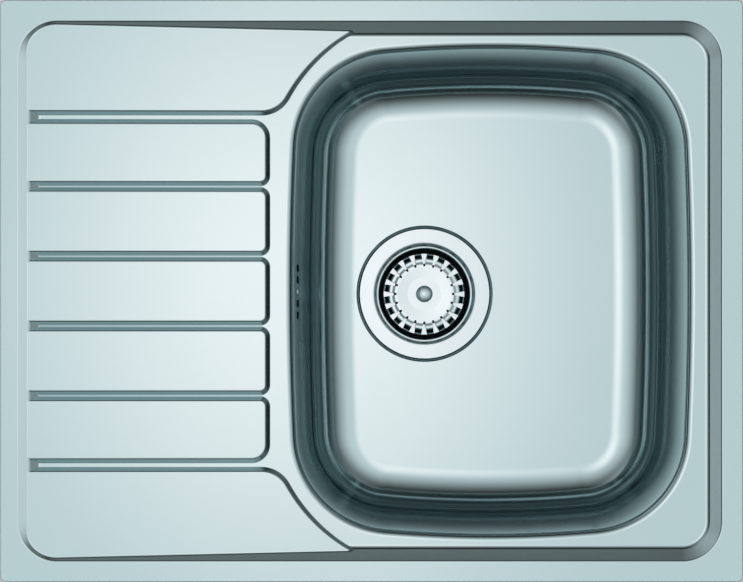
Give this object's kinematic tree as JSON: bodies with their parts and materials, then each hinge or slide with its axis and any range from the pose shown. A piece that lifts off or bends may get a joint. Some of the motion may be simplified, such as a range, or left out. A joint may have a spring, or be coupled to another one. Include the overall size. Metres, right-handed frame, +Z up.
{
  "type": "top-mount sink",
  "caption": "Top-mount kitchen sink pressed from steel sheet, with a deep rounded bowl, a fluted drainer, a lift-out basket strainer, an overflow and swing-out worktop clamps.",
  "frame": {"origin": "centre of the rim's outline, on the worktop plane that the rim seal lies on", "axes": "+X from the drainer towards the bowl, +Y towards the rear, +Z up out of the bowl"},
  "size_m": [0.628, 0.492, 0.2398],
  "materials": {
    "sink_steel": "satin stainless steel sheet, polished rim and rolled bowl edge",
    "strainer_steel": "bright pressed stainless steel",
    "bright_steel": "turned and polished steel",
    "seal_foam": "closed-cell foam rubber strip",
    "black_rubber": "moulded black rubber",
    "bracket_steel": "plain pressed stainless steel",
    "zinc_steel": "zinc-plated steel",
    "waste_plastic": "moulded polypropylene, fine matt texture",
    "pipe_plastic": "smooth polypropylene pipe",
    "nut_plastic": "moulded grey nut with grip ribs",
    "brass": "turned brass",
    "pad_bitumen": "self-adhesive bitumen damping sheet"
  },
  "bodies": {
    "sink": {"sink_body": "sink_steel", "strainer_cup": "strainer_steel", "waste_screw": "bright_steel", "overflow_screw": "bright_steel", "rim_seal": "seal_foam", "flange_gasket": "black_rubber", "lower_gasket": "black_rubber", "overflow_gasket": "black_rubber", "coupling_seals": "black_rubber", "clamp_anchors": "bracket_steel", "clamp_screws": "zinc_steel", "waste_body": "waste_plastic", "overflow_housing": "waste_plastic", "overflow_pipe": "pipe_plastic", "coupling_nuts": "nut_plastic", "waste_insert": "brass", "overflow_insert": "brass", "sound_pad": "pad_bitumen"},
    "basket_post": {"basket_stem": "bright_steel", "stem_ring": "black_rubber"},
    "basket": {"basket_crown": "strainer_steel", "basket_plate": "strainer_steel", "basket_seal": "black_rubber", "basket_knob": "bright_steel"},
    "clamp_1": {"clamp_jaw_1": "zinc_steel"},
    "clamp_2": {"clamp_jaw_2": "zinc_steel"},
    "clamp_3": {"clamp_jaw_3": "zinc_steel"},
    "clamp_4": {"clamp_jaw_4": "zinc_steel"},
    "clamp_5": {"clamp_jaw_5": "zinc_steel"},
    "clamp_6": {"clamp_jaw_6": "zinc_steel"},
    "clamp_7": {"clamp_jaw_7": "zinc_steel"},
    "clamp_8": {"clamp_jaw_8": "zinc_steel"}
  },
  "joints": [
    {"name": "basket_lift", "type": "slide", "parent": "sink", "child": "basket_post", "axis": [0, 0, 1], "range_m": [0, 0.22]},
    {"name": "basket_turn", "type": "hinge", "parent": "basket_post", "child": "basket", "pos_m": [0.0483, 0, -0.1706], "axis": [0, 0, 1], "continuous": true},
    {"name": "clamp_1_swing", "type": "hinge", "parent": "sink", "child": "clamp_1", "pos_m": [-0.165, 0.226, -0.046], "axis": [0, 0, 1], "range_deg": [0, 90]},
    {"name": "clamp_2_swing", "type": "hinge", "parent": "sink", "child": "clamp_2", "pos_m": [0.165, 0.226, -0.046], "axis": [0, 0, 1], "range_deg": [0, 90]},
    {"name": "clamp_3_swing", "type": "hinge", "parent": "sink", "child": "clamp_3", "pos_m": [0.294, 0.12, -0.046], "axis": [0, 0, 1], "range_deg": [0, 90]},
    {"name": "clamp_4_swing", "type": "hinge", "parent": "sink", "child": "clamp_4", "pos_m": [0.294, -0.12, -0.046], "axis": [0, 0, 1], "range_deg": [0, 90]},
    {"name": "clamp_5_swing", "type": "hinge", "parent": "sink", "child": "clamp_5", "pos_m": [0.165, -0.226, -0.046], "axis": [0, 0, 1], "range_deg": [0, 90]},
    {"name": "clamp_6_swing", "type": "hinge", "parent": "sink", "child": "clamp_6", "pos_m": [-0.165, -0.226, -0.046], "axis": [0, 0, 1], "range_deg": [0, 90]},
    {"name": "clamp_7_swing", "type": "hinge", "parent": "sink", "child": "clamp_7", "pos_m": [-0.294, -0.12, -0.046], "axis": [0, 0, 1], "range_deg": [0, 90]},
    {"name": "clamp_8_swing", "type": "hinge", "parent": "sink", "child": "clamp_8", "pos_m": [-0.294, 0.12, -0.046], "axis": [0, 0, 1], "range_deg": [0, 90]}
  ]
}
